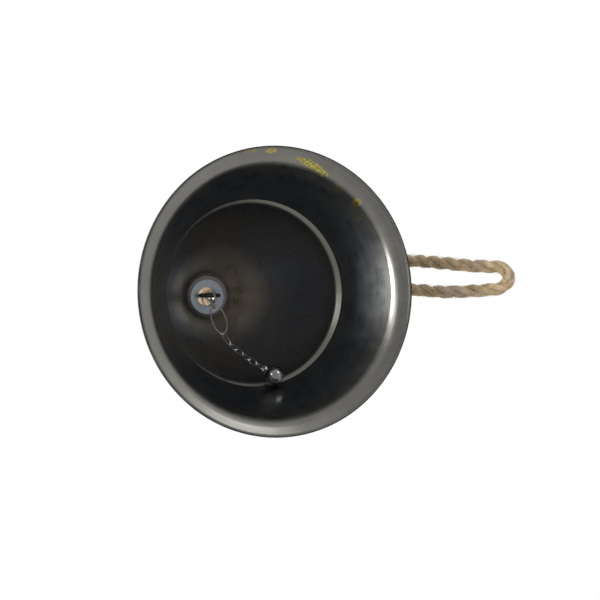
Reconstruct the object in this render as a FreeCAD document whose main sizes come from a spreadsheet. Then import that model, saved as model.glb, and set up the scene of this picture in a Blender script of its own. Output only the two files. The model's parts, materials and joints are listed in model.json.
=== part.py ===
"""A hand-size temple bell, standing on its rim, as a FreeCAD macro.  Millimetres, +Z up.

The bell is a spun sheet-metal cup: a nearly flat flared lip, a straight waist with one rolled bead, and a
rounded crown that ends in a flat pad with a hole.  A figure-eight wire hanger goes through the hole between
two washers.  Its upper eye carries a loop of three-strand jute rope, closed by a reef knot.  Its lower eye
carries the clapper: a top link, an oval link, a joining link, five small links and a drilled ball on a
riveted eye pin.

The origin is the centre of the mouth, in the plane that the rim stands on.  The rope loop has flopped over
to +X until it touches the ground.  The clapper has swung to +Y, almost against the inside of the waist.
"""

import FreeCAD
import Part
import Sketcher

import math
import os

from FreeCAD import Placement, Rotation, Vector

DIMS = {
    # the shell: outer radius, height and rounding at each corner of its profile
    "sheet_thick": 1.2,
    "rim_radius": 60.0,
    "rim_edge": 1.3,
    "lip_radius": 54.6,
    "lip_height": 3.9,
    "lip_round": 6.0,
    "bead_low_radius": 41.6,
    "bead_low_height": 30.3,
    "bead_foot_round": 1.4,
    "bead_radius": 43.0,
    "bead_height": 32.6,
    "bead_round": 1.5,
    "bead_high_radius": 40.0,
    "bead_high_height": 34.9,
    "waist_bow": 170.0,
    "pad_radius": 11.0,
    "pad_height": 104.2,
    "pad_round": 4.0,
    "crown_hole": 10.4,
    # the washers on both sides of the crown
    "washer_outer": 16.8,
    "washer_inner": 9.6,
    "washer_thick": 1.0,
    "washer_shift": 0.6,
    # the figure-eight hanger: radii of the wire's centreline and heights of the eyes' centres
    "hanger_wire": 2.0,
    "upper_eye": 5.6,
    "upper_eye_height": 114.0,
    "lower_eye": 4.4,
    "lower_eye_height": 98.4,
    "strand_apart": 1.7,
    # the clapper chain: a link's pitch runs from the wire it hangs on to the wire that hangs on it,
    # and its bend is how far it has turned there from the line of the link above
    "link_gap": 0.04,
    "top_wire": 0.9,
    "top_width": 5.2,
    "top_pitch": 7.6,
    "top_bend": 46.0,
    "oval_wire": 0.8,
    "oval_width": 7.2,
    "oval_pitch": 18.0,
    "oval_bend": 1.6,
    "joining_wire": 0.65,
    "joining_width": 2.8,
    "joining_pitch": 13.0,
    "joining_bend": -24.7,
    "small_wire": 0.6,
    "small_width": 2.6,
    "small_pitch": 6.3,
    "small_bend_1": -11.4,
    "small_bend_2": -1.6,
    "small_bend_3": -1.1,
    "small_bend_4": -2.4,
    "small_bend_5": -2.5,
    # the ball and its eye pin
    "ball_radius": 4.0,
    "ball_hole": 1.2,
    "pin_wire": 1.1,
    "pin_eye": 1.35,
    "pin_pitch": 8.4,
    "pin_bend": 0.0,
    "rivet_radius": 0.95,
    "rivet_thick": 0.5,
    # the rope: half sizes of the knot, how far off its middle the loop's ends lie, and the two tails
    # that stick out of it, with where they start
    "rope_size": 5.8,
    "knot_long": 12.5,
    "knot_wide": 8.6,
    "knot_deep": 6.4,
    "knot_entry": 5.0,
    "tail_size": 5.0,
    "tail_long": 19.0,
    "tail_start": 2.0,
    "tail_out": 2.4,
    "tail_up": 0.5,
}

doc = FreeCAD.newDocument("temple_bell")
sheet = doc.addObject("Spreadsheet::Sheet", "dims")
for row, (alias, value) in enumerate(DIMS.items(), start=1):
    sheet.set(f"A{row}", alias)
    sheet.set(f"B{row}", str(value))
    sheet.setAlias(f"B{row}", alias)
doc.recompute()


def size(alias):
    """A driving dimension, as the sheet holds it."""
    return float(getattr(sheet, alias))


def in_sheet(text):
    """An expression whose words are cells of the sheet, such as "washer_outer / 2"."""
    return " ".join(f"dims.{word}" if word in DIMS else word for word in text.split())


def bind(obj, **sizes):
    """Binds properties of obj to the sheet: Radius="washer_outer / 2", or x, y, z for its place."""
    for name, text in sizes.items():
        path = f"Placement.Base.{name}" if name in ("x", "y", "z") else name
        obj.setExpression(path, in_sheet(text))
    return obj


def make(kind, name, **sizes):
    return bind(doc.addObject(kind, name), **sizes)


def join(kind, label, shapes):
    """A fuse of several shapes, or a cut of the second from the first, as the node called label."""
    node = doc.addObject(kind, label)
    if kind == "Part::Cut":
        node.Base, node.Tool = shapes
    else:
        node.Shapes = shapes
    node.Label = label
    return node


def free_shape(label, shape):
    """A node that neither a body nor primitives fit."""
    node = doc.addObject("Part::Feature", label)
    node.Shape = shape
    node.Placement = Placement()
    return node


# ---------------------------------------------------------------------------- the shell

# radius, height and rounding of each corner from the rim up to the crown's pad
PROFILE = (
    ("rim_radius", "rim_edge", None),
    ("lip_radius", "lip_height", "lip_round"),
    ("bead_low_radius", "bead_low_height", "bead_foot_round"),
    ("bead_radius", "bead_height", "bead_round"),
    ("bead_high_radius", "bead_high_height", "bead_foot_round"),
    ("pad_radius", "pad_height", "pad_round"),
)
ORIGIN, X_LINE, Z_LINE = -1, -1, -2
START, END, CENTRE = 1, 2, 3
TOUCHING = 1e-4


def new_sketch(body, name, role):
    sketch = body.newObject("Sketcher::SketchObject", name)
    plane = next(f for f in body.Origin.OriginFeatures if f.Role == role)
    sketch.AttachmentSupport = (plane, [""])
    sketch.MapMode = "FlatFace"
    return sketch


def drive(sketch, kind, *spots, cell):
    """A sketch dimension that follows a cell of the sheet."""
    number = sketch.addConstraint(Sketcher.Constraint(kind, *spots, size(cell)))
    sketch.setExpression(f"Constraints[{number}]", in_sheet(cell))


def bowed(start, end, radius):
    """An arc from start to end, bulging to the right of that line."""
    chord = end - start
    bulge = radius - math.sqrt(radius ** 2 - chord.Length ** 2 / 4)
    outward = Vector(chord.y, -chord.x, 0).normalize()
    return Part.Arc(start, (start + end) * 0.5 + outward * bulge, end)


def outline_sketch(body):
    """The outline before its corners are rounded: out along the mouth, up the wall, in along the pad."""
    sketch = new_sketch(body, "outline", "XZ_Plane")
    points = [Vector(0, 0, 0), Vector(size("rim_radius"), 0, 0)]
    points += [Vector(size(radius), size(height), 0) for radius, height, _ in PROFILE]
    points.append(Vector(0, size("pad_height"), 0))
    count = len(points)
    waist = len(PROFILE)
    sides = [Part.LineSegment(points[i], points[(i + 1) % count]) for i in range(count)]
    sides[waist] = bowed(points[waist], points[waist + 1], size("waist_bow"))
    sketch.addGeometry(sides, False)
    drive(sketch, "Radius", waist, cell="waist_bow")
    for i in range(count):
        sketch.addConstraint(Sketcher.Constraint("Coincident", i, END, (i + 1) % count, START))
    sketch.addConstraint(Sketcher.Constraint("Coincident", 0, START, ORIGIN, START))
    sketch.addConstraint(Sketcher.Constraint("PointOnObject", 1, START, X_LINE))
    drive(sketch, "DistanceX", ORIGIN, START, 1, START, cell="rim_radius")
    for corner, (radius, height, _) in enumerate(PROFILE, start=2):
        drive(sketch, "DistanceX", ORIGIN, START, corner, START, cell=radius)
        drive(sketch, "DistanceY", ORIGIN, START, corner, START, cell=height)
    sketch.addConstraint(Sketcher.Constraint("PointOnObject", count - 1, START, Z_LINE))
    drive(sketch, "DistanceY", ORIGIN, START, count - 1, START, cell="pad_height")
    return sketch


def ring_edge(shape, radius, height):
    """The name of the circular edge about the axis with this radius at this height."""
    for number, edge in enumerate(shape.Edges, start=1):
        curve = edge.Curve
        if not isinstance(curve, Part.Circle):
            continue
        if math.hypot(curve.Radius - radius, curve.Center.z - height) < TOUCHING:
            return f"Edge{number}"
    raise ValueError(f"no edge of radius {radius} at height {height}")


def bell_shell():
    """Spun, rounded at every corner but the rim's, hollowed from below to one thickness, then drilled."""
    body = doc.addObject("PartDesign::Body", "bell_shell")
    sketch = outline_sketch(body)
    spun = body.newObject("PartDesign::Revolution", "spun")
    spun.Profile = sketch
    spun.ReferenceAxis = (sketch, ["V_Axis"])
    spun.Angle = 360
    doc.recompute()
    last = spun
    for radius, height, rounding in PROFILE:
        if rounding is None:
            continue
        corner = body.newObject("PartDesign::Fillet", f"round_{radius}")
        corner.Base = (last, [ring_edge(last.Shape, size(radius), size(height))])
        bind(corner, Radius=rounding)
        doc.recompute()
        last = corner
    faces = enumerate(last.Shape.Faces, start=1)
    mouth = next(number for number, face in faces if abs(face.BoundBox.ZMax) < TOUCHING)
    hollow = body.newObject("PartDesign::Thickness", "hollow")
    hollow.Base = (last, [f"Face{mouth}"])
    hollow.Reversed = True
    bind(hollow, Value="sheet_thick")
    doc.recompute()
    solid_volume = last.Shape.Volume
    if not 0 < hollow.Shape.Volume < solid_volume / 4:
        raise ValueError("the shell isn't hollow")
    circle = new_sketch(body, "hole_outline", "XY_Plane")
    circle.addGeometry(Part.Circle(Vector(), Vector(0, 0, 1), size("crown_hole") / 2), False)
    circle.addConstraint(Sketcher.Constraint("Coincident", 0, CENTRE, ORIGIN, START))
    drive(circle, "Diameter", 0, cell="crown_hole")
    hole = body.newObject("PartDesign::Pocket", "crown_hole")
    hole.Profile = circle
    hole.Type = "ThroughAll"
    hole.Reversed = True
    body.Tip = hole
    doc.recompute()
    if hole.Shape.Volume >= hollow.Shape.Volume:
        raise ValueError("the crown isn't drilled")
    return body


# ---------------------------------------------------------------------------- washers and hanger

# stands a ring that is made lying flat up in the XZ plane
UPRIGHT = Rotation(Vector(1, 0, 0), 90)


def washer(label, lower_face, shift):
    """A flat washer whose lower face is at this height, pushed aside as far as its hole lets it."""
    parts = []
    for part, radius in (("disc", "washer_outer / 2"), ("bore", "washer_inner / 2")):
        parts.append(make("Part::Cylinder", f"{label}_{part}", Radius=radius, Height="washer_thick",
                          y=shift, z=lower_face))
    return join("Part::Cut", label, parts)


def hanger():
    """One wire bent to a figure eight: an eye above the crown, an eye below it and two strands between."""
    parts = []
    for eye in ("upper_eye", "lower_eye"):
        ring = make("Part::Torus", f"{eye}_ring",
                    Radius1=eye, Radius2="hanger_wire / 2", z=f"{eye}_height")
        ring.Placement.Rotation = UPRIGHT
        parts.append(ring)
    top_of_lower = "lower_eye_height + lower_eye"
    for side, sign in (("left", "-1"), ("right", "1")):
        parts.append(make("Part::Cylinder", f"{side}_strand", Radius="hanger_wire / 2",
                          Height=f"upper_eye_height - upper_eye - ( {top_of_lower} )",
                          x=f"{sign} * strand_apart / 2", z=top_of_lower))
    return join("Part::MultiFuse", "hanger", parts)


# ---------------------------------------------------------------------------- the clapper chain

def rise(wire, above):
    """How far the top of a link's centreline is above the centre of the wire that it hangs on."""
    return f"( {wire} + {above} ) / 2 + link_gap"


def straight_link(label, wire, width, pitch, above):
    """A wire loop with straight sides in the XZ plane, hung on a wire at the origin."""
    top = rise(wire, above)
    parts = []
    ends = (("top", 0, f"{top} - {width} / 2"), ("foot", 180, f"{width} / 2 - {pitch}"))
    for end, turn, centre in ends:
        bend = make("Part::Torus", f"{label}_{end}",
                    Radius1=f"{width} / 2", Radius2=f"{wire} / 2", z=centre)
        bend.Angle3 = 180
        bend.Placement.Rotation = UPRIGHT * Rotation(Vector(0, 0, 1), turn)
        parts.append(bend)
    for side, sign in (("left", "-1"), ("right", "1")):
        parts.append(make("Part::Cylinder", f"{label}_{side}", Radius=f"{wire} / 2",
                          Height=f"{pitch} + {top} - {width}",
                          x=f"{sign} * {width} / 2", z=f"{width} / 2 - {pitch}"))
    return join("Part::MultiFuse", label, parts)


def oval_link(label, wire, width, pitch, above):
    """An elliptical wire loop in the XZ plane, hung on a wire at the origin."""
    length = f"{pitch} + {rise(wire, above)}"
    middle = f"( {rise(wire, above)} - {pitch} ) / 2"
    spine = make("Part::Ellipse", f"{label}_line", MajorRadius=f"( {length} ) / 2",
                 MinorRadius=f"{width} / 2", z=middle)
    spine.Placement.Rotation = UPRIGHT * Rotation(Vector(0, 0, 1), 90)
    section = make("Part::Circle", f"{label}_section", Radius=f"{wire} / 2", z=rise(wire, above))
    section.Placement.Rotation = Rotation(Vector(0, 1, 0), 90)
    loop = doc.addObject("Part::Sweep", label)
    loop.Label = label
    loop.Sections = [section]
    loop.Spine = (spine, ["Edge1"])
    loop.Solid = True
    loop.Frenet = True
    return loop


def eye_pin(label, wire, above):
    """An eye and its shank, which goes through the ball and is riveted over below it."""
    top = rise(wire, above)
    eye = make("Part::Torus", f"{label}_eye",
               Radius1="pin_eye", Radius2=f"{wire} / 2", z=f"{top} - pin_eye")
    eye.Placement.Rotation = UPRIGHT
    seat = "pin_pitch + ( ball_radius ^ 2 - ball_hole ^ 2 / 4 ) ^ 0.5"
    shank = make("Part::Cylinder", f"{label}_shank", Radius=f"{wire} / 2",
                 Height=f"{top} - 2 * pin_eye + {seat}", z=f"-1 * ( {seat} )")
    rivet = make("Part::Cylinder", f"{label}_rivet", Radius="rivet_radius", Height="rivet_thick",
                 z=f"-1 * ( {seat} ) - rivet_thick")
    return join("Part::MultiFuse", label, [eye, shank, rivet])


def ball(label):
    """A ball below the eye, bored right through for the pin."""
    round_part = make("Part::Sphere", f"{label}_round", Radius="ball_radius", z="-1 * pin_pitch")
    bore = make("Part::Cylinder", f"{label}_bore", Radius="ball_hole / 2", Height="4 * ball_radius",
                z="-1 * pin_pitch - 2 * ball_radius")
    return join("Part::Cut", label, (round_part, bore))


# each link: its name, its wire, width, pitch and bend, and the wire that it hangs on
CHAIN = [
    ("top_link", "top_wire", "top_width", "top_pitch", "top_bend", "hanger_wire"),
    ("oval_link", "oval_wire", "oval_width", "oval_pitch", "oval_bend", "top_wire"),
    ("joining_link", "joining_wire", "joining_width", "joining_pitch", "joining_bend", "oval_wire"),
]
for turn in range(1, 6):
    wire_above = "joining_wire" if turn == 1 else "small_wire"
    CHAIN.append((f"chain_link_{turn}", "small_wire", "small_width", "small_pitch", f"small_bend_{turn}",
                  wire_above))
CHAIN.append(("ball_pin", "pin_wire", "pin_eye", "pin_pitch", "pin_bend", "small_wire"))


def chain_frames():
    """For each link, the point that it hangs on, the line of the wire there, and its own placement.

    A link lies square to the wire that it hangs on, so every second link faces the same way.
    """
    spot = Vector(0, 0, size("lower_eye_height") - size("lower_eye"))
    down, across, normal = Vector(0, 0, -1), Vector(1, 0, 0), Vector(0, 1, 0)
    frames = {}
    for label, _, _, pitch, bend, _ in CHAIN:
        turned = Rotation(across, size(bend))
        down, across, normal = turned.multVec(down), turned.multVec(normal), across
        facing = Rotation(across, Vector(), down.negative(), "ZXY")
        frames[label] = (spot, normal, Placement(spot, facing))
        spot = spot + down * size(pitch)
    return frames


def clapper():
    nodes = []
    frames = chain_frames()
    for label, wire, width, pitch, _, above in CHAIN:
        if label == "ball_pin":
            made = [eye_pin(label, wire, above), ball("clapper_ball")]
        elif label == "oval_link":
            made = [oval_link(label, wire, width, pitch, above)]
        else:
            made = [straight_link(label, wire, width, pitch, above)]
        doc.recompute()
        for node in made:
            node.Placement = frames[label][2].multiply(node.Placement)
        nodes += made
    return nodes


# ---------------------------------------------------------------------------- the rope

KNOT = Vector(31, 6.0, 97)
KNOT_LINE = Vector(16, 0.4, -13).normalize()
END_IN_KNOT = KNOT_LINE * size("knot_entry")

# how far a tail leans from the line through the knot, for each unit along it
TAIL_LEAN_OUT = 0.3
TAIL_LEAN_UP = 0.22

# corners of the rope's centreline: from the knot up to the upper eye, through it, down to the tip on the
# ground and back up to the knot
ROPE = (
    KNOT - END_IN_KNOT,
    Vector(16, 5.2, 107.6),
    Vector(1.0, 4.55, 113.6),
    Vector(1.0, -4.55, 113.6),
    Vector(16, -5.4, 107.6),
    Vector(38, -8.5, 92),
    Vector(60, -14.2, 67),
    Vector(75.5, -16.4, 42),
    Vector(87, -13.8, 19.5),
    Vector(97.5, -12.0, 8.2),
    Vector(110.0, -11.9, 3.5),
    Vector(110.0, -2.6, 3.3),
    Vector(98, -1.2, 7.8),
    Vector(86, -0.6, 19.5),
    Vector(74.5, -3.0, 42),
    Vector(58, 0.2, 67.5),
    KNOT + END_IN_KNOT,
)


# the most of a straight run that the arc at one of its ends may take up
ARC_SHARE = 0.45


def rounded_route(corners):
    """Straight runs joined by tangent arcs, each as large as its two runs allow, and the arcs' radii."""
    edges, radii = [], []
    start = corners[0]
    for back, here, ahead in zip(corners, corners[1:], corners[2:]):
        before, after = here - back, ahead - here
        turn = before.getAngle(after)
        reach = ARC_SHARE * min(before.Length, after.Length)
        entry = here - before.normalize() * reach
        leave = here + after.normalize() * reach
        radius = reach / math.tan(turn / 2)
        inward = (entry + leave) * 0.5 - here
        middle = here + inward.normalize() * (radius / math.cos(turn / 2) - radius)
        edges.append(Part.LineSegment(start, entry).toShape())
        edges.append(Part.Arc(entry, middle, leave).toShape())
        radii.append(radius)
        start = leave
    edges.append(Part.LineSegment(start, corners[-1]).toShape())
    return Part.Wire(edges), radii


def tube(wire, radius):
    start = wire.Edges[0].firstVertex().Point
    along = wire.Edges[0].tangentAt(wire.Edges[0].FirstParameter)
    ring = Part.Wire(Part.makeCircle(radius, start, along))
    return wire.makePipeShell([ring], True, False)


def rope_loop():
    radius = size("rope_size") / 2
    wire, radii = rounded_route(ROPE)
    shape = tube(wire, radius)
    expected = math.pi * radius ** 2 * wire.Length
    print("rope: length", round(wire.Length, 1), "volume / expected", round(shape.Volume / expected, 4))
    print("rope radii in diameters:", [round(r / (2 * radius), 1) for r in radii])
    return free_shape("rope_loop", shape)


def rope_knot(rope):
    """The reef knot as a lump with its two tails, hollowed where the loop's ends go into it."""
    lump = Part.makeSphere(1.0)
    stretch = FreeCAD.Matrix()
    stretch.scale(size("knot_long"), size("knot_deep"), size("knot_wide"))
    lump = lump.transformGeometry(stretch)
    for end in (-1, 1):
        root = Vector(end * size("tail_start"), size("tail_out"), size("tail_up"))
        lean = Vector(end, TAIL_LEAN_OUT, TAIL_LEAN_UP).normalize()
        tail = Part.makeCylinder(size("tail_size") / 2, size("tail_long"), root, lean)
        lump = lump.fuse(tail)
    facing = Rotation(KNOT_LINE, Vector(0, 1, 0), Vector(), "XYZ")
    lump.Placement = Placement(KNOT, facing)
    return free_shape("rope_knot", lump.cut(rope.Shape))


# ---------------------------------------------------------------------------- all of it


def main():
    nodes = [
        bell_shell(),
        washer("outer_washer", "pad_height", "0"),
        washer("inner_washer", "pad_height - sheet_thick - washer_thick", "washer_shift"),
        hanger(),
    ]
    nodes += clapper()
    rope = rope_loop()
    nodes += [rope, rope_knot(rope)]
    doc.recompute()
    for obj in doc.Objects:
        if "Invalid" in obj.State or "Error" in obj.State:
            raise ValueError(f"{obj.Label}: {obj.State}")
    for node in nodes:
        shape = node.Shape
        if shape.isNull() or not shape.isValid() or not shape.Solids:
            raise ValueError(f"{node.Label} has no valid solid")
        print(node.Label, "solids", len(shape.Solids), "volume", round(shape.Volume, 2))
    os.makedirs("parts", exist_ok=True)
    for node in nodes:
        node.Shape.exportStep(os.path.join("parts", f"{node.Label}.step"))


main()
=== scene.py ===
import json
import math
import random

import bmesh
import bpy
from mathutils import Matrix, Vector, noise

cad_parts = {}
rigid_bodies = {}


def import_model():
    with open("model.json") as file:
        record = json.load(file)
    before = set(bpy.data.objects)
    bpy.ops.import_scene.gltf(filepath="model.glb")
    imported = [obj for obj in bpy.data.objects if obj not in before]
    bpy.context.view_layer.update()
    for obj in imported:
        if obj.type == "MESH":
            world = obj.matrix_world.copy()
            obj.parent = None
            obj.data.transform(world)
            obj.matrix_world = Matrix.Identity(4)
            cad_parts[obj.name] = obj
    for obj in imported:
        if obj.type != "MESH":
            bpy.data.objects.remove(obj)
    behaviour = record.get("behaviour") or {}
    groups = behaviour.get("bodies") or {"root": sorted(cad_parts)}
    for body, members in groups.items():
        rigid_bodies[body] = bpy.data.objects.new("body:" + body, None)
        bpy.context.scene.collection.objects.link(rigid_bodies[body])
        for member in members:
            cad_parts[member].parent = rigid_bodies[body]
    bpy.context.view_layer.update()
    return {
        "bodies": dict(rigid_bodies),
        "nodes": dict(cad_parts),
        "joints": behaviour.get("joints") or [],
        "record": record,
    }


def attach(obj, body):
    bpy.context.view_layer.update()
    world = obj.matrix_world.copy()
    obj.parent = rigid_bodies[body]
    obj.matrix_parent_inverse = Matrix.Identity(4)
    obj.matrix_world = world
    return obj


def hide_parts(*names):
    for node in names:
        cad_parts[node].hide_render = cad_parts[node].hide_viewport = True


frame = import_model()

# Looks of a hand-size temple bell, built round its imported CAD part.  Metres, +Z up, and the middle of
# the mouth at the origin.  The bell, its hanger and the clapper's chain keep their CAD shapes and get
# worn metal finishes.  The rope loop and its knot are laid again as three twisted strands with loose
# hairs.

MM = 0.001
scene = bpy.context.scene
nodes = frame["nodes"]


# ------------------------------------------------------------------ camera

# how far the camera stands from the middle of the mouth, and how it turns off the bell's axis
VIEW_DISTANCE = 0.5
VIEW_TURN = math.radians(20.7)
VIEW_LEAN = math.radians(1.2)
LENS_MM = 73.0
# what it aims at, beside and below the middle of the mouth
AIM_RIGHT = 7.8 * MM
AIM_DOWN = 3.5 * MM
NEAREST_SEEN = 0.01


def square_to(look, side):
    """The part of side that is square to look, one unit long."""
    return (side - look * side.dot(look)).normalized()


def make_camera():
    """Looks up into the mouth from below, about 20 degrees off the bell's axis."""
    look = Vector((math.sin(VIEW_TURN), -math.sin(VIEW_LEAN), math.cos(VIEW_TURN))).normalized()
    right = square_to(look, Vector((math.cos(VIEW_TURN), 0, -math.sin(VIEW_TURN))))
    place = -look * VIEW_DISTANCE
    aim = right * AIM_RIGHT + look.cross(right) * AIM_DOWN
    look = (aim - place).normalized()
    right = square_to(look, right)
    turn = Matrix((right, right.cross(look), -look)).transposed()
    data = bpy.data.cameras.new("camera")
    data.lens = LENS_MM
    data.clip_start = NEAREST_SEEN
    camera = bpy.data.objects.new("camera", data)
    camera.matrix_world = Matrix.Translation(place) @ turn.to_4x4()
    scene.collection.objects.link(camera)
    scene.camera = camera


# ------------------------------------------------------------------ the rope's line

ROPE_SIZE = 5.8 * MM

# the knot's middle, the way the rope runs through it, and how far off its middle in mm the loop's ends lie
KNOT = Vector((31.0, 6.0, 97.0)) * MM
KNOT_LINE = Vector((16.0, 0.4, -13.0)).normalized()
KNOT_ENTRY = 5.0

# the rope's route in mm, as the CAD source has it: out of the knot, through the hanger's upper eye and back
# over the shoulder, down beside the bell to the fold on the ground, and up again to the knot
ROUTE = [
    KNOT / MM - KNOT_LINE * KNOT_ENTRY,
    Vector((16.0, 5.2, 107.6)),
    Vector((1.0, 4.55, 113.6)),
    Vector((1.0, -4.55, 113.6)),
    Vector((16.0, -5.4, 107.6)),
    Vector((38.0, -8.5, 92.0)),
    Vector((60.0, -14.2, 67.0)),
    Vector((75.5, -16.4, 42.0)),
    Vector((87.0, -13.8, 19.5)),
    Vector((97.5, -12.0, 8.2)),
    Vector((110.0, -11.9, 3.5)),
    Vector((110.0, -2.6, 3.3)),
    Vector((98.0, -1.2, 7.8)),
    Vector((86.0, -0.6, 19.5)),
    Vector((74.5, -3.0, 42.0)),
    Vector((58.0, 0.2, 67.5)),
    KNOT / MM + KNOT_LINE * KNOT_ENTRY,
]

# one of the reef knot's two rope ends, in mm along the knot, out to its side and across it: in along the
# loop, round the other end's bight, and back out as a tail
KNOT_END = (
    (-9.5, 0.0, 0.0),
    (-6.5, 0.2, 0.2),
    (-3.4, -1.9, 2.4),
    (0.6, -2.2, 3.6),
    (4.6, 0.4, 4.4),
    (6.3, 3.0, 1.0),
    (4.8, 3.2, -3.2),
    (0.8, 0.9, -3.6),
    (-3.6, 0.2, -2.6),
    (-7.5, 2.6, -2.4),
    (-12.5, 4.8, -3.0),
    (-17.0, 6.4, -3.8),
)


def knot_lines():
    """Both rope ends of the knot.  The second is the first, turned half a turn about the knot's side."""
    out_way = Vector((0, 1, 0))
    up_way = KNOT_LINE.cross(out_way).normalized()
    lines = []
    for hand in (-1, 1):
        lines.append([KNOT + (KNOT_LINE * along * hand + out_way * out + up_way * up * hand) * MM
                      for along, out, up in KNOT_END])
    return lines


def smooth_line(name, points, fineness=24):
    """Points along the NURBS curve of order 3 that has these control points."""
    data = bpy.data.curves.new(name, "CURVE")
    data.dimensions = "3D"
    spline = data.splines.new("NURBS")
    spline.points.add(len(points) - 1)
    for point, co in zip(spline.points, points):
        point.co = (*co, 1)
    spline.order_u = 3
    spline.use_endpoint_u = True
    data.resolution_u = fineness
    curve = bpy.data.objects.new(name, data)
    scene.collection.objects.link(curve)
    bpy.context.view_layer.update()
    mesh = bpy.data.meshes.new_from_object(curve)
    line = [v.co.copy() for v in mesh.vertices]
    bpy.data.objects.remove(curve)
    bpy.data.meshes.remove(mesh)
    return line


def evenly(line, step):
    """The line's points spaced evenly, about a step apart, and the line's length."""
    lengths = [0.0]
    for a, b in zip(line, line[1:]):
        lengths.append(lengths[-1] + (b - a).length)
    count = max(2, round(lengths[-1] / step))
    spaced, i = [], 0
    for k in range(count + 1):
        want = lengths[-1] * k / count
        while i < len(line) - 2 and lengths[i + 1] < want:
            i += 1
        span = max(lengths[i + 1] - lengths[i], 1e-12)
        spaced.append(line[i].lerp(line[i + 1], min(1.0, (want - lengths[i]) / span)))
    return spaced, lengths[-1]


def way_at(line, i):
    """The direction of a line at its point i."""
    return (line[min(i + 1, len(line) - 1)] - line[max(i - 1, 0)]).normalized()


def carried_frames(line):
    """At each point of a line, its tangent and two normals that don't spin about it."""
    frames = []
    side = Vector((0.13, 0.31, 0.94))
    for i in range(len(line)):
        tangent = way_at(line, i)
        side = square_to(tangent, side)
        frames.append((tangent, side, tangent.cross(side)))
    return frames


# ------------------------------------------------------------------ strands and hairs

STRANDS = 3
STRAND_SHARE = 0.495  # of the rope's size
LAY_LENGTH = 4.0 * ROPE_SIZE  # in which a strand goes once round the rope
YARNS = 6  # in each strand
YARN_LAY = 0.5 * LAY_LENGTH  # in which a yarn goes once round its strand
STEP = 0.5 * MM
AROUND = 34
FINER_OUTSIDE = 0.42  # how far a strand's points crowd together on the rope's outside
ROUGH_GRAIN = 0.9 * MM

# how much each irregularity of the rope moves its strands, as a share of what it changes
WANDER = 0.22
LOOSENESS = 0.06
SWELLING = 0.08
YARN_RIDGE = 0.045
ROUGHNESS = 0.06
LUMPINESS = 0.08


def strand_centres(points, frames, length, size, strand, seed):
    """A strand's centreline round the rope's, and the way out of the rope at each of its points."""
    reach = size / 2 * (1 - STRAND_SHARE)
    start = math.tau * strand / STRANDS + seed
    centres, outward = [], []
    for i, (here, (_, side, other)) in enumerate(zip(points, frames)):
        along = length * i / (len(points) - 1)
        wander = WANDER * noise.noise(Vector((along / size * 0.6, strand * 7.1, seed)))
        turn = start + math.tau * along / LAY_LENGTH + wander
        loose = 1 + LOOSENESS * noise.noise(Vector((along / size * 0.9, strand * 3.3, seed + 4)))
        out = side * math.cos(turn) + other * math.sin(turn)
        centres.append(here + out * reach * loose)
        outward.append(out)
    return centres, outward


def strand_ring(build, centre, side, other, radius, angles, along, strand, seed):
    """One ring of a strand's surface, with its yarns as ridges and its fibres as a fine roughness."""
    ring = []
    for a in angles[:-1]:
        ridge = math.cos(YARNS * (a + math.tau * along / YARN_LAY))
        spot = Vector((math.cos(a), math.sin(a), 0)) * 1.6 + Vector((0, strand * 9, along / ROUGH_GRAIN))
        rough = noise.noise(spot)
        lumpy = noise.noise(spot * 0.37 + Vector((seed, 5, 3)))
        reach = radius * (1 + YARN_RIDGE * ridge + ROUGHNESS * rough + LUMPINESS * lumpy)
        ring.append(build.verts.new(centre + (side * math.cos(a) + other * math.sin(a)) * reach))
    return ring


def skin(build, rings):
    """Joins rings of vertices to a smooth closed tube.  Returns its side faces, each with its place."""
    around = len(rings[0])
    sides = []
    for i, (low, high) in enumerate(zip(rings, rings[1:])):
        for k in range(around):
            n = (k + 1) % around
            face = build.faces.new((low[k], low[n], high[n], high[k]))
            face.smooth = True
            sides.append((face, k, i))
    build.faces.new(list(reversed(rings[0])))
    build.faces.new(rings[-1])
    return sides


def as_piece(build, name):
    """A new object with what was built as its mesh."""
    mesh = bpy.data.meshes.new(name)
    build.to_mesh(mesh)
    build.free()
    piece = bpy.data.objects.new(name, mesh)
    scene.collection.objects.link(piece)
    return piece


def rope_mesh(name, line, size, seed):
    """Three strands laid round a line, as one mesh whose UV follows the yarns."""
    points, length = evenly(line, STEP)
    frames = carried_frames(points)
    build = bmesh.new()
    coords = build.loops.layers.uv.new("fibre")
    angles = [math.tau * k / AROUND for k in range(AROUND + 1)]
    angles = [a - FINER_OUTSIDE * math.sin(a) for a in angles]
    for strand in range(STRANDS):
        centres, outward = strand_centres(points, frames, length, size, strand, seed)
        rings = []
        for i, (centre, out) in enumerate(zip(centres, outward)):
            along = length * i / (len(points) - 1)
            ahead = way_at(centres, i)
            side = square_to(ahead, out)
            swell = 1 + SWELLING * noise.noise(Vector((along / size * 1.1, strand * 5.7, seed + 9)))
            radius = size / 2 * STRAND_SHARE * swell
            rings.append(strand_ring(build, centre, side, ahead.cross(side), radius, angles, along,
                                     strand, seed))
        for face, k, i in skin(build, rings):
            for loop, (u, v) in zip(face.loops, ((k, i), (k + 1, i), (k + 1, i + 1), (k, i + 1))):
                twisted = angles[u] / math.tau + v * STEP / YARN_LAY
                loop[coords].uv = (twisted * YARNS + strand * 7, v * STEP / size)
    return as_piece(build, name), points, length


HAIRS_PER_METRE = 12000
HAIR_LONGEST = 3.4 * MM
HAIR_THICK = (0.045 * MM, 0.085 * MM)
HAIR_PARTS = 4
HAIR_TAPER = 0.75
HAIR_CURL = 0.5 * 0.45  # how far a hair turns aside in each of its parts
HAIR_DROOP = 0.16  # how far it turns back to the rope


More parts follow.
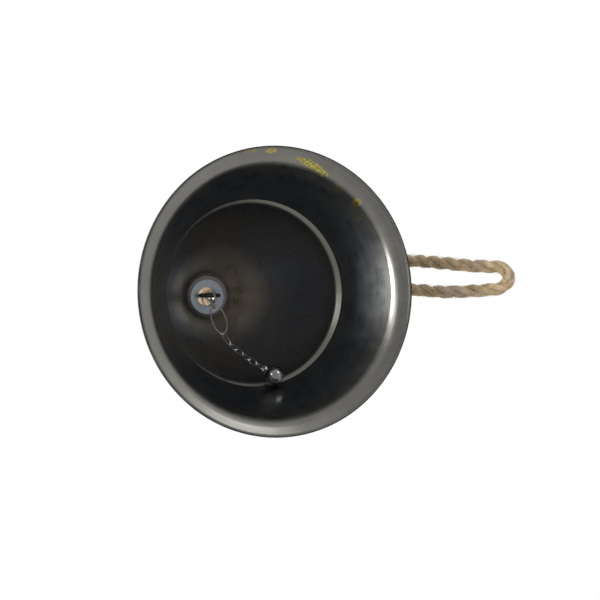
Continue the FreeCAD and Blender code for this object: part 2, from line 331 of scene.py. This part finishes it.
def hair_rings(build, draw, root, frame, size):
    """The rings of one hair, which starts in the rope's surface, leans along it and curls back."""
    tangent, side, other = frame
    bearing = draw.uniform(0, math.tau)
    out = side * math.cos(bearing) + other * math.sin(bearing)
    round_it = tangent.cross(out)
    here = root + out * size * draw.uniform(0.40, 0.47)
    lean = tangent * draw.choice((-1, 1)) * draw.uniform(0.5, 1.5) + round_it * draw.uniform(-0.9, 0.9)
    heading = (lean + out * draw.uniform(0.1, 0.7)).normalized()
    length = draw.uniform(0.3, 1.0) ** 1.6 * HAIR_LONGEST
    thick = draw.uniform(*HAIR_THICK)
    curl = Vector((draw.uniform(-1, 1), draw.uniform(-1, 1), draw.uniform(-1, 1))) * HAIR_CURL
    rings = []
    for part in range(HAIR_PARTS + 1):
        wide = thick * (1 - HAIR_TAPER * part / HAIR_PARTS)
        a1 = heading.orthogonal().normalized()
        a2 = heading.cross(a1)
        rings.append([build.verts.new(here + (a1 * math.cos(b) + a2 * math.sin(b)) * wide)
                      for b in (0, math.tau / 3, 2 * math.tau / 3)])
        here = here + heading * length / HAIR_PARTS
        heading = (heading + curl - out * HAIR_DROOP).normalized()
    return rings


def hair_mesh(name, points, size, seed):
    """Loose jute hairs that stand off a rope, as thin tapering tubes."""
    draw = random.Random(seed)
    frames = carried_frames(points)
    step = (points[1] - points[0]).length
    build = bmesh.new()
    for _ in range(int(HAIRS_PER_METRE * step * len(points))):
        i = draw.randrange(2, len(points) - 2)
        skin(build, hair_rings(build, draw, points[i], frames[i], size))
    return as_piece(build, name)


# ------------------------------------------------------------------ writing materials


class Nodes:
    """A short way to write the nodes of a material or a world."""

    def __init__(self, owner, output):
        owner.use_nodes = True
        self.owner = owner
        self.tree = owner.node_tree
        self.tree.nodes.clear()
        self.output = self.tree.nodes.new(output)

    def set(self, node, socket, value):
        if isinstance(value, bpy.types.NodeSocket):
            self.tree.links.new(value, node.inputs[socket])
        else:
            node.inputs[socket].default_value = value

    def add(self, kind, sockets=None, **settings):
        node = self.tree.nodes.new(kind)
        for key, value in settings.items():
            setattr(node, key, value)
        for socket, value in (sockets or {}).items():
            self.set(node, socket, value)
        return node

    def math(self, operation, a, b=0.0, clamp=False):
        return self.add("ShaderNodeMath", {0: a, 1: b}, operation=operation, use_clamp=clamp).outputs[0]

    def plus(self, a, b):
        return self.math("ADD", a, b)

    def minus(self, a, b):
        return self.math("SUBTRACT", a, b)

    def times(self, a, b):
        return self.math("MULTIPLY", a, b)

    def vector(self, x, y, z):
        return self.add("ShaderNodeCombineXYZ", {0: x, 1: y, 2: z}).outputs[0]

    def parts(self, vector):
        return self.add("ShaderNodeSeparateXYZ", {0: vector}).outputs

    def coords(self, kind="Object"):
        return self.add("ShaderNodeTexCoord").outputs[kind]

    def noise(self, vector, scale, detail=4.0, roughness=0.55):
        sockets = {"Vector": vector, "Scale": scale, "Detail": detail, "Roughness": roughness}
        return self.add("ShaderNodeTexNoise", sockets).outputs["Fac"]

    def ramp(self, factor, stops):
        node = self.add("ShaderNodeValToRGB", {"Fac": factor})
        elements = node.color_ramp.elements
        while len(elements) < len(stops):
            elements.new(0.5)
        for element, (place, colour) in zip(elements, stops):
            element.position = place
            element.color = (*colour, 1)
        return node.outputs["Color"]

    def mix(self, factor, a, b):
        node = self.add("ShaderNodeMix", {"Factor": factor, 6: a, 7: b}, data_type="RGBA")
        return node.outputs[2]

    def mix_shaders(self, factor, a, b):
        return self.add("ShaderNodeMixShader", {0: factor, 1: a.outputs[0], 2: b.outputs[0]})

    def range(self, value, low, high, to_low=0.0, to_high=1.0):
        sockets = {"Value": value, "From Min": low, "From Max": high, "To Min": to_low, "To Max": to_high}
        return self.add("ShaderNodeMapRange", sockets).outputs["Result"]

    def bump(self, height, strength, distance, normal=None):
        sockets = {"Height": height, "Strength": strength, "Distance": distance}
        if normal is not None:
            sockets["Normal"] = normal
        return self.add("ShaderNodeBump", sockets).outputs["Normal"]

    def show(self, shader):
        self.tree.links.new(shader.outputs[0], self.output.inputs["Surface"])
        return self.owner

    def principled(self, **sockets):
        named = {key.replace("_", " "): value for key, value in sockets.items()}
        return self.show(self.add("ShaderNodeBsdfPrincipled", named))


def material_nodes(name):
    return Nodes(bpy.data.materials.new(name), "ShaderNodeOutputMaterial")


def dress(piece, material):
    piece.data.materials.clear()
    piece.data.materials.append(material)


# ------------------------------------------------------------------ the bell's metal

# brass that shows through the dark finish inside the lip: its bearing, half its width in degrees, its radius,
# half its height in mm, how fast the radius changes with the bearing, and how bare it is worn
WEAR = (
    (-94.0, 3.2, 58.0, 1.6, 0.0, 0.8),
    (-102.5, 5.0, 58.8, 0.45, 0.0, 0.5),
    (-73.5, 11.5, 54.9, 1.9, -0.16, 1.0),
    (-57.5, 4.4, 52.6, 1.5, -0.1, 0.30),
    (-46.5, 3.0, 52.8, 1.8, 0.0, 1.0),
    (-39.5, 2.0, 50.6, 1.8, 0.0, 0.35),
)

# the two tones of each zone of the bell
# painted reflection: the lip's tones are lighter than the wall's, for the room it mirrors
LIP_REFLECTION_TONES = ((0.180, 0.177, 0.162), (0.240, 0.234, 0.213))
WALL_TONES = ((0.139, 0.145, 0.154), (0.180, 0.186, 0.189))
DEEP_TONES = ((0.216, 0.229, 0.252), (0.286, 0.301, 0.330))
# painted glow: bright warm tones on the crown stand in for light reflected inside it
CROWN_GLOW_TONES = ((0.540, 0.475, 0.395), (0.720, 0.645, 0.540))
OUTER_TONES = ((0.115, 0.115, 0.112), (0.200, 0.196, 0.183))
BRASS_TONES = ((0.15, 0.125, 0.03), (0.64, 0.565, 0.17))
# painted shade: the pad round the crown hole darkened
PAD_SHADE_COLOUR = (0.110, 0.110, 0.120, 1)
# painted highlight: a light line along the groove, where the crease gleams
GROOVE_HIGHLIGHT_COLOUR = (0.215, 0.208, 0.172, 1)
# painted shade: a dark line round the rim's outer edge
RIM_EDGE_SHADE_COLOUR = (0.022, 0.021, 0.019, 1)

# where each zone gives way to the next, in mm of height or radius
LIP_ENDS = (5.0, 11.0)
DEEP_STARTS = (33.0, 44.0)
# where the crown's painted glow begins and where it is full
CROWN_GLOW_STARTS = (78.0, 99.0)
PAD_WITHIN = (12.2, 9.8)
PAD_ABOVE = (92.0, 97.0)
GROOVE_FROM = (27.5, 29.5)
GROOVE_TO = (37.0, 34.5)
# the rim edge's painted shade line lies between these radii
RIM_EDGE_SHADE_FROM = (59.25, 59.6)


def two_tones(n, tone, tones, spread=0.18):
    """Runs from the first of two colours to the second as the tone goes through its middle."""
    return n.ramp(tone, [(0.5 - spread, tones[0]), (0.5 + spread, tones[1])])


def worn_through(n, bearing, radius, place):
    """How much brass shows at a spot, in ragged strokes across the lip."""
    strokes = n.noise(n.vector(n.times(bearing, 2.2), n.times(radius, 0.55), 0.0), 1.0, 2.0, 0.5)
    ragged = n.noise(place, 900.0, 4.0, 0.65)
    broken = n.plus(n.times(strokes, 1.5), n.times(ragged, 0.9))
    total = 0.0
    for spot, wide, middle, tall, lean, bare in WEAR:
        away = n.minus(bearing, spot)
        level = n.plus(n.times(away, lean), middle)
        u = n.math("DIVIDE", away, wide)
        v = n.math("DIVIDE", n.minus(radius, level), tall)
        near = n.math("SUBTRACT", 1.0, n.plus(n.times(u, u), n.times(v, v)), clamp=True)
        bitten = n.range(n.plus(near, n.minus(broken, 1.30)), 0.22, 0.55)
        here = n.times(n.times(bitten, n.range(near, 0.0, 0.12)), bare)
        total = n.math("MAXIMUM", total, here)
    return total


def bell_inside(n, tone, height, radius):
    """The colour of the bell's inside: a lip lightened as a painted reflection, a dark wall, a light groove
    that is a painted highlight, a warm crown that is a painted glow, and a dark pad of painted shade.
    """
    # the lip made lighter as a painted reflection
    colour = n.mix(n.range(height, *LIP_ENDS), two_tones(n, tone, LIP_REFLECTION_TONES), two_tones(n, tone, WALL_TONES))
    colour = n.mix(n.range(height, *DEEP_STARTS), colour, two_tones(n, tone, DEEP_TONES))
    # painted glow on the crown
    colour = n.mix(n.range(height, *CROWN_GLOW_STARTS), colour, two_tones(n, tone, CROWN_GLOW_TONES))
    # painted shade on the pad round the crown hole
    pad_shade = n.times(n.range(radius, *PAD_WITHIN), n.range(height, *PAD_ABOVE))
    colour = n.mix(n.times(pad_shade, 0.85), colour, PAD_SHADE_COLOUR)
    # painted highlight along the groove
    groove_highlight = n.times(n.range(height, *GROOVE_FROM), n.range(height, *GROOVE_TO))
    return n.mix(n.times(groove_highlight, 0.7), colour, GROOVE_HIGHLIGHT_COLOUR)


def dark_spun_metal():
    """Dark sheet metal with the lathe's fine lines, mottled, with a broken line of painted shade at its rim
    edge, painted light inside, and worn to brass.
    """
    n = material_nodes("dark_spun_metal")
    place = n.coords()
    x, y, z = n.parts(place)
    angle = n.math("ARCTAN2", y, x)
    bearing = n.times(angle, math.degrees(1))
    radius = n.times(n.math("SQRT", n.plus(n.times(x, x), n.times(y, y))), 1 / MM)
    height = n.times(z, 1 / MM)
    lines = n.noise(n.vector(n.times(radius, 2.6), n.times(height, 2.6), n.times(angle, 0.8)), 1.0, 3.0, 0.6)
    mottle = n.noise(place, 140.0, 5.0, 0.6)
    specks = n.noise(place, 1300.0, 3.0, 0.7)
    tone = n.plus(n.times(n.noise(place, 18.0, 3.0, 0.5), 0.6), n.times(mottle, 0.4))

    facing_up = n.parts(n.coords("Normal"))[2]
    inside = n.range(facing_up, 0.0, -0.05)
    colour = n.mix(inside, two_tones(n, tone, OUTER_TONES, 0.20), bell_inside(n, tone, height, radius))
    # painted shade: a broken dark line round the rim's outer edge
    shade_breaks = n.range(n.noise(place, 160.0, 3.0), 0.45, 0.7, 0.92, 0.55)
    colour = n.mix(n.times(n.range(radius, *RIM_EDGE_SHADE_FROM), shade_breaks), colour, RIM_EDGE_SHADE_COLOUR)
    bare = n.times(worn_through(n, bearing, radius, place), inside)
    colour = n.mix(bare, colour, two_tones(n, specks, BRASS_TONES, 0.16))

    rough = n.plus(n.range(mottle, 0.3, 0.7, 0.27, 0.35), n.range(lines, 0.3, 0.7, -0.04, 0.04))
    scratches = n.bump(n.plus(n.times(lines, 0.5), n.times(specks, 0.2)), 0.09, 0.05 * MM)
    waves = n.bump(n.noise(place, 40.0, 2.0), 0.25, 0.5 * MM, scratches)
    return n.principled(Base_Color=colour, Metallic=1.0, Roughness=rough, Normal=waves)


# ------------------------------------------------------------------ steel and jute

# each steel's brightness, warmth, roughness, depth of scratches and share of bare metal
STEELS = {
    "grey_washer": (0.58, -0.09, 0.36, 0.30, 0.80),
    "dark_hanger_wire": (0.10, 0.02, 0.35, 0.25, 1.00),
    "bright_wire": (0.92, 0.00, 0.22, 0.12, 0.75),
    "chain_wire": (0.85, 0.00, 0.12, 0.10, 0.93),
    "polished_ball": (0.28, 0.03, 0.15, 0.10, 1.00),
}

# the nodes that each steel is on
MADE_OF = {
    "grey_washer": ("outer_washer", "inner_washer"),
    "dark_hanger_wire": ("hanger",),
    "bright_wire": ("top_link", "oval_link", "joining_link"),
    "chain_wire": ("ball_pin", *(name for name in nodes if name.startswith("chain_link_"))),
    "polished_ball": ("clapper_ball",),
}

# the rope's colours from its deepest gaps to its brightest fibres, where it is yellow and where it is grey
JUTE_STOPS = (0.32, 0.45, 0.56, 0.70)
JUTE_YELLOW = ((0.206, 0.133, 0.060), (0.413, 0.305, 0.155), (0.585, 0.452, 0.249), (0.722, 0.602, 0.387))
JUTE_GREY = ((0.224, 0.150, 0.095), (0.430, 0.318, 0.224), (0.585, 0.456, 0.335), (0.740, 0.619, 0.482))


def grey(value, warm):
    return (value * (1 + warm), value, value * (1 - warm), 1)


def steel(name):
    """Drawn, plated or polished steel, mottled in tone and gloss and finely scratched."""
    value, warm, rough, scratch, bare = STEELS[name]
    n = material_nodes(name)
    place = n.coords()
    mottle = n.noise(place, 380.0, 5.0, 0.6)
    fine = n.noise(place, 2400.0, 3.0, 0.6)
    colour = n.mix(n.range(mottle, 0.3, 0.75), grey(value * 0.7, warm), grey(value * 1.15, warm))
    roughness = n.range(mottle, 0.3, 0.7, rough * 0.75, rough * 1.4)
    normal = n.bump(fine, scratch, 0.04 * MM)
    return n.principled(Base_Color=colour, Metallic=bare, Roughness=roughness, Normal=normal)


def jute():
    """Matt jute, streaked along its yarns, in patches of yellow and pinkish grey."""
    n = material_nodes("jute")
    place = n.coords()
    fibre = n.add("ShaderNodeUVMap", uv_map="fibre").outputs[0]
    stretched = n.add("ShaderNodeVectorMath", {0: fibre, 1: (4.0, 1.3, 1.0)}, operation="MULTIPLY").outputs[0]
    streaks = n.noise(stretched, 1.5, 5.0, 0.75)
    patches = n.noise(place, 240.0, 3.0, 0.6)
    hue = n.noise(place, 95.0, 2.0, 0.5)
    fine = n.noise(place, 1900.0, 4.0, 0.7)
    tone = n.plus(n.times(streaks, 0.5), n.times(patches, 0.5))
    yellow = n.ramp(tone, list(zip(JUTE_STOPS, JUTE_YELLOW)))
    pinkish_grey = n.ramp(tone, list(zip(JUTE_STOPS, JUTE_GREY)))
    colour = n.mix(n.range(hue, 0.42, 0.62), yellow, pinkish_grey)
    normal = n.bump(n.plus(n.times(streaks, 0.8), n.times(fine, 0.35)), 0.85, 0.28 * MM)
    return n.principled(Base_Color=colour, Roughness=0.94, Normal=normal, Sheen_Weight=0.25,
                        Sheen_Roughness=0.5)


def jute_hairs():
    n = material_nodes("jute_hairs")
    tone = n.noise(n.coords(), 700.0, 2.0)
    colour = n.ramp(tone, [(0.3, (0.45, 0.33, 0.18)), (0.7, (0.82, 0.68, 0.45))])
    return n.principled(Base_Color=colour, Roughness=0.9)


# ------------------------------------------------------------------ the pieces

KNOT_ROPE_SIZE = 0.9 * ROPE_SIZE  # pulled tight
PATH_STEP = 1.5 * MM
LOWEST_STRAND = 0.2 * MM
LOWEST_HAIR = 0.1 * MM
LOOP_HAIR_SEED = 11
KNOT_HAIR_SEED = 20


def keep_above(piece, height):
    """Flattens what would dip into the ground."""
    for vertex in piece.data.vertices:
        vertex.co.z = max(vertex.co.z, height)


def on_rope(piece, material):
    """Finishes a piece of jute that moves with the rope."""
    dress(piece, material)
    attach(piece, "rope")
    return piece


def make_rope():
    """The rope loop, the two rope ends that are tied to its knot, and the hairs on all three."""
    jute_rope, hairs = jute(), jute_hairs()
    line = smooth_line("route", [point * MM for point in ROUTE])
    loop, points, length = rope_mesh("rope_loop_strands", line, ROPE_SIZE, 0.0)
    keep_above(on_rope(loop, jute_rope), LOWEST_STRAND)
    fluff = hair_mesh("rope_loop_hairs", points, ROPE_SIZE, LOOP_HAIR_SEED)
    keep_above(on_rope(fluff, hairs), LOWEST_HAIR)
    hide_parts("rope_loop")
    with_pieces = [fluff]
    for number, knot_points in enumerate(knot_lines(), start=1):
        knot_line = smooth_line(f"knot_{number}", knot_points)
        end, spots, _ = rope_mesh(f"knot_end_{number}", knot_line, KNOT_ROPE_SIZE, number)
        on_rope(end, jute_rope)
        tuft = hair_mesh(f"knot_hairs_{number}", spots, KNOT_ROPE_SIZE, KNOT_HAIR_SEED + number)
        on_rope(tuft, hairs)
        with_pieces += [end, tuft]
        if number == 1:
            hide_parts("rope_knot")
    evenly(line, PATH_STEP)[0]


def make_finishes():
    """Every CAD node that stays in sight gets its metal."""
    dress(nodes["bell_shell"], dark_spun_metal())
    for name, pieces in MADE_OF.items():
        metal = steel(name)
        for piece in pieces:
            dress(nodes[piece], metal)


# ------------------------------------------------------------------ floor and light

FLOOR_RADIUS = 2.5

# the room's brightness from straight below (0) to straight above (1), and how far it leans to one side
ROOM = ((0.0, 0.60), (0.05, 0.62), (0.14, 0.76), (0.28, 0.84), (0.5, 0.80), (1.0, 0.75))
ROOM_STRENGTH = 0.85
ROOM_LEAN = (0.20, 0.10, 0.0)
ROOM_BLUE = 1.01

# each light's place, its width and height, and its power in watts
LIGHT_TARGET = Vector((0, 0, 0.02))
LIGHT_REACH = 0.85
LIGHTS = {
    "key_above": (Vector((-0.45, -0.55, 0.85)), (0.50, 0.50), 4.5),
    "left_tall": (Vector((-0.99, 0.04, -0.13)) * LIGHT_REACH, (0.50, 0.14), 7.5),
    "left_small": (Vector((-0.844, -0.233, -0.475)) * LIGHT_REACH, (0.27, 0.27), 0.85),
    "right_small": (Vector((0.522, -0.559, -0.632)) * LIGHT_REACH, (0.27, 0.27), 0.85),
}


def make_floor():
    """A pale ground that can't be seen or felt from below, where the camera looks up into the mouth."""
    n = material_nodes("pale_ground")
    colour = n.mix(n.noise(n.coords(), 3.0, 2.0), (0.80, 0.80, 0.79, 1), (0.84, 0.84, 0.83, 1))
    paper = n.add("ShaderNodeBsdfDiffuse", {"Color": colour})
    clear = n.add("ShaderNodeBsdfTransparent")
    from_below = n.add("ShaderNodeNewGeometry").outputs["Backfacing"]
    bpy.ops.mesh.primitive_circle_add(vertices=96, radius=FLOOR_RADIUS, fill_type="NGON", location=(0, 0, 0))
    floor = bpy.context.object
    floor.name = "ground"
    dress(floor, n.show(n.mix_shaders(from_below, paper, clear)))
    floor.visible_shadow = False
    floor.visible_diffuse = False
    floor.visible_glossy = False
    floor.visible_transmission = False


def make_world():
    """White to the eye; to the metal, a pale room that is dim straight below, where the camera stands."""
    n = Nodes(bpy.data.worlds.new("studio"), "ShaderNodeOutputWorld")
    way = n.coords("Generated")
    height = n.range(n.parts(way)[2], -1.0, 1.0)
    colour = n.ramp(height, [(spot, (value, value, value * ROOM_BLUE)) for spot, value in ROOM])
    lean = n.add("ShaderNodeVectorMath", {0: way, 1: ROOM_LEAN}, operation="DOT_PRODUCT").outputs["Value"]
    room = n.add("ShaderNodeBackground", {"Color": colour, "Strength": n.plus(lean, ROOM_STRENGTH)})
    white = n.add("ShaderNodeBackground", {"Color": (1, 1, 1, 1)})
    to_the_eye = n.add("ShaderNodeLightPath").outputs["Is Camera Ray"]
    scene.world = n.show(n.mix_shaders(to_the_eye, room, white))


def make_lights():
    """Soft area lights, unseen by the camera, that all face the mouth."""
    for name, (place, size, power) in LIGHTS.items():
        data = bpy.data.lights.new(name, "AREA")
        data.shape = "RECTANGLE"
        data.size, data.size_y = size
        data.energy = power
        light = bpy.data.objects.new(name, data)
        light.location = place
        light.rotation_euler = (LIGHT_TARGET - place).to_track_quat("-Z", "Y").to_euler()
        light.visible_camera = False
        scene.collection.objects.link(light)


make_camera()
make_rope()
make_finishes()
make_floor()
make_world()
make_lights()
scene.view_settings.view_transform = "Standard"
